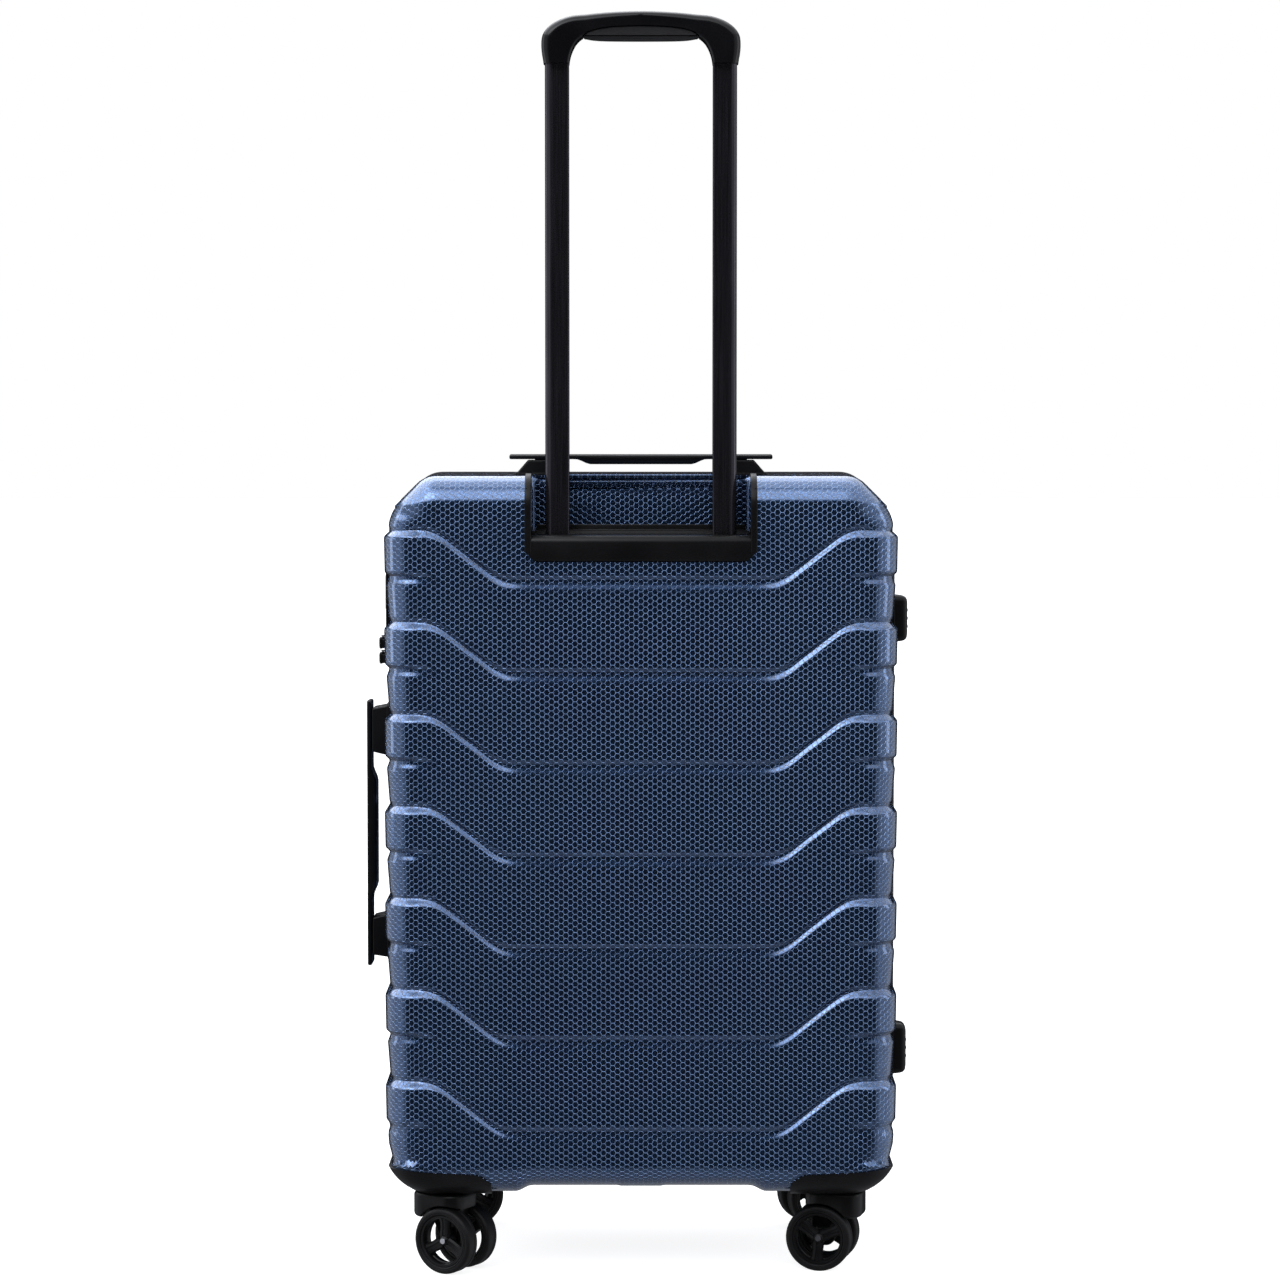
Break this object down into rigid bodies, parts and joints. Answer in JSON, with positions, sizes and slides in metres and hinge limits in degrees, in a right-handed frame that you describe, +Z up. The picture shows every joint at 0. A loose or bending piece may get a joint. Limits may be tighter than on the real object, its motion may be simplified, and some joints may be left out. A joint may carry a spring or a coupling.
{
  "type": "hard shell suitcase on wheels",
  "caption": "Upright hard shell suitcase with a ribbed zip-up case, pull-out trolley handle, carry handles, combination lock and twin-wheel swivel casters.",
  "frame": {"origin": "on the floor, below the centre of the object's box, wheels on the floor", "axes": "+Z up; +X to the right seen from behind; -Y is the back, where the trolley is; +Y is the front"},
  "size_m": [0.466, 0.269, 1.0606],
  "materials": {
    "shell_blue": "metallic gloss",
    "black_satin": "satin",
    "black_gloss": "gloss",
    "tube_black": "satin black anodised",
    "tube_plain": "mill finish",
    "steel": "brushed",
    "zipper_tape": "woven",
    "lining": "woven polyester",
    "strap": "webbing",
    "tyre": "matt",
    "rim": "satin"
  },
  "bodies": {
    "case": {"back_shell": "shell_blue", "trolley_bezel": "black_satin", "outer_tubes": "tube_plain", "tube_bracket": "black_satin", "zipper_back": "zipper_tape", "top_handle_bases": "black_satin", "side_handle_bases": "black_satin", "side_feet": "black_satin", "lock_case": "black_gloss", "zipper_sliders": "steel", "back_lining": "lining", "packing_straps": "strap", "strap_buckle": "black_satin", "caster_mounts_rear": "black_satin", "hinge_tape": "zipper_tape"},
    "lid": {"front_shell": "shell_blue", "zipper_front": "zipper_tape", "front_lining": "lining", "divider_panel": "lining", "caster_mounts_front": "black_satin"},
    "trolley": {"inner_tubes": "tube_black", "trolley_grip": "black_gloss", "tube_glides": "black_satin"},
    "trigger": {"release_trigger": "black_gloss", "push_rods": "steel"},
    "lock_slide": {"lock_pins": "steel"},
    "top_handle": {"top_handle_grip": "black_gloss"},
    "side_handle": {"side_handle_grip": "black_gloss"},
    "dial_1": {"dial_1": "black_gloss"},
    "dial_2": {"dial_2": "black_gloss"},
    "dial_3": {"dial_3": "black_gloss"},
    "button": {"lock_button": "black_gloss"},
    "key": {"key_cylinder": "steel"},
    "pull_1": {"puller_1": "steel"},
    "pull_2": {"puller_2": "steel"},
    "caster_rl": {"fork_rl": "black_satin", "axle_rl": "steel"},
    "wheel_rl_a": {"rim_rl_a": "rim", "tyre_rl_a": "tyre"},
    "wheel_rl_b": {"rim_rl_b": "rim", "tyre_rl_b": "tyre"},
    "caster_rr": {"fork_rr": "black_satin", "axle_rr": "steel"},
    "wheel_rr_a": {"rim_rr_a": "rim", "tyre_rr_a": "tyre"},
    "wheel_rr_b": {"rim_rr_b": "rim", "tyre_rr_b": "tyre"},
    "caster_fl": {"fork_fl": "black_satin", "axle_fl": "steel"},
    "wheel_fl_a": {"rim_fl_a": "rim", "tyre_fl_a": "tyre"},
    "wheel_fl_b": {"rim_fl_b": "rim", "tyre_fl_b": "tyre"},
    "caster_fr": {"fork_fr": "black_satin", "axle_fr": "steel"},
    "wheel_fr_a": {"rim_fr_a": "rim", "tyre_fr_a": "tyre"},
    "wheel_fr_b": {"rim_fr_b": "rim", "tyre_fr_b": "tyre"}
  },
  "joints": [
    {"name": "lid_open", "type": "hinge", "parent": "case", "child": "lid", "pos_m": [0.228, 0, 0.35], "axis": [0, 0, -1], "range_deg": [0, 180], "deforming": ["hinge_tape"]},
    {"name": "trolley_slide", "type": "slide", "parent": "case", "child": "trolley", "axis": [0, 0, 1], "range_m": [-0.39, 0]},
    {"name": "trigger_squeeze", "type": "slide", "parent": "trolley", "child": "trigger", "axis": [0, 0, 1], "range_m": [0, 0.004], "stiffness_N_per_m": 1500, "springref_m": -0.004},
    {"name": "lock_pin_slide", "type": "slide", "parent": "trolley", "child": "lock_slide", "axis": [0, -1, 0], "range_m": [0, 0.0025]},
    {"name": "top_handle_lift", "type": "slide", "parent": "case", "child": "top_handle", "axis": [0, 0, 1], "range_m": [0, 0.008], "stiffness_N_per_m": 400, "springref_m": -0.004},
    {"name": "side_handle_lift", "type": "slide", "parent": "case", "child": "side_handle", "axis": [-1, 0, 0], "range_m": [0, 0.008], "stiffness_N_per_m": 400, "springref_m": -0.004},
    {"name": "dial_1_turn", "type": "hinge", "parent": "case", "child": "dial_1", "pos_m": [-0.2112, -0.025, 0.5652], "axis": [0, 0, 1], "continuous": true},
    {"name": "dial_2_turn", "type": "hinge", "parent": "case", "child": "dial_2", "pos_m": [-0.2112, -0.025, 0.575], "axis": [0, 0, 1], "continuous": true},
    {"name": "dial_3_turn", "type": "hinge", "parent": "case", "child": "dial_3", "pos_m": [-0.2112, -0.025, 0.5848], "axis": [0, 0, 1], "continuous": true},
    {"name": "lock_button_press", "type": "slide", "parent": "case", "child": "button", "axis": [1, 0, 0], "range_m": [0, 0.0014], "stiffness_N_per_m": 800, "springref_m": -0.002},
    {"name": "key_turn", "type": "hinge", "parent": "case", "child": "key", "pos_m": [-0.212, -0.025, 0.551], "axis": [1, 0, 0], "range_deg": [0, 90]},
    {"name": "pull_1_swing", "type": "hinge", "parent": "case", "child": "pull_1", "pos_m": [-0.2219, 0, 0.5175], "axis": [0, 0, -1], "range_deg": [0, 150]},
    {"name": "pull_2_swing", "type": "hinge", "parent": "case", "child": "pull_2", "pos_m": [-0.2219, 0, 0.5305], "axis": [0, 0, -1], "range_deg": [0, 150]},
    {"name": "swivel_rl", "type": "hinge", "parent": "case", "child": "caster_rl", "pos_m": [-0.169, -0.09, 0.068], "axis": [0, 0, 1], "continuous": true},
    {"name": "spin_rl_a", "type": "hinge", "parent": "caster_rl", "child": "wheel_rl_a", "pos_m": [-0.15443, -0.09876, 0.028], "axis": [0.515, 0.8572, 0], "continuous": true},
    {"name": "spin_rl_b", "type": "hinge", "parent": "caster_rl", "child": "wheel_rl_b", "pos_m": [-0.15443, -0.09876, 0.028], "axis": [0.515, 0.8572, 0], "continuous": true},
    {"name": "swivel_rr", "type": "hinge", "parent": "case", "child": "caster_rr", "pos_m": [0.175, -0.09, 0.068], "axis": [0, 0, 1], "continuous": true},
    {"name": "spin_rr_a", "type": "hinge", "parent": "caster_rr", "child": "wheel_rr_a", "pos_m": [0.15858, -0.0856, 0.028], "axis": [-0.2588, -0.9659, 0], "continuous": true},
    {"name": "spin_rr_b", "type": "hinge", "parent": "caster_rr", "child": "wheel_rr_b", "pos_m": [0.15858, -0.0856, 0.028], "axis": [-0.2588, -0.9659, 0], "continuous": true},
    {"name": "swivel_fl", "type": "hinge", "parent": "lid", "child": "caster_fl", "pos_m": [-0.169, 0.09, 0.068], "axis": [0, 0, 1], "continuous": true},
    {"name": "spin_fl_a", "type": "hinge", "parent": "caster_fl", "child": "wheel_fl_a", "pos_m": [-0.15237, 0.09353, 0.028], "axis": [-0.2079, 0.9781, 0], "continuous": true},
    {"name": "spin_fl_b", "type": "hinge", "parent": "caster_fl", "child": "wheel_fl_b", "pos_m": [-0.15237, 0.09353, 0.028], "axis": [-0.2079, 0.9781, 0], "continuous": true},
    {"name": "swivel_fr", "type": "hinge", "parent": "lid", "child": "caster_fr", "pos_m": [0.175, 0.09, 0.068], "axis": [0, 0, 1], "continuous": true},
    {"name": "spin_fr_a", "type": "hinge", "parent": "caster_fr", "child": "wheel_fr_a", "pos_m": [0.15866, 0.08531, 0.028], "axis": [0.2756, -0.9613, 0], "continuous": true},
    {"name": "spin_fr_b", "type": "hinge", "parent": "caster_fr", "child": "wheel_fr_b", "pos_m": [0.15866, 0.08531, 0.028], "axis": [0.2756, -0.9613, 0], "continuous": true}
  ],
  "couplings": [
    {"joint": "lock_pin_slide", "follows": "trigger_squeeze", "ratio": 0.625}
  ]
}
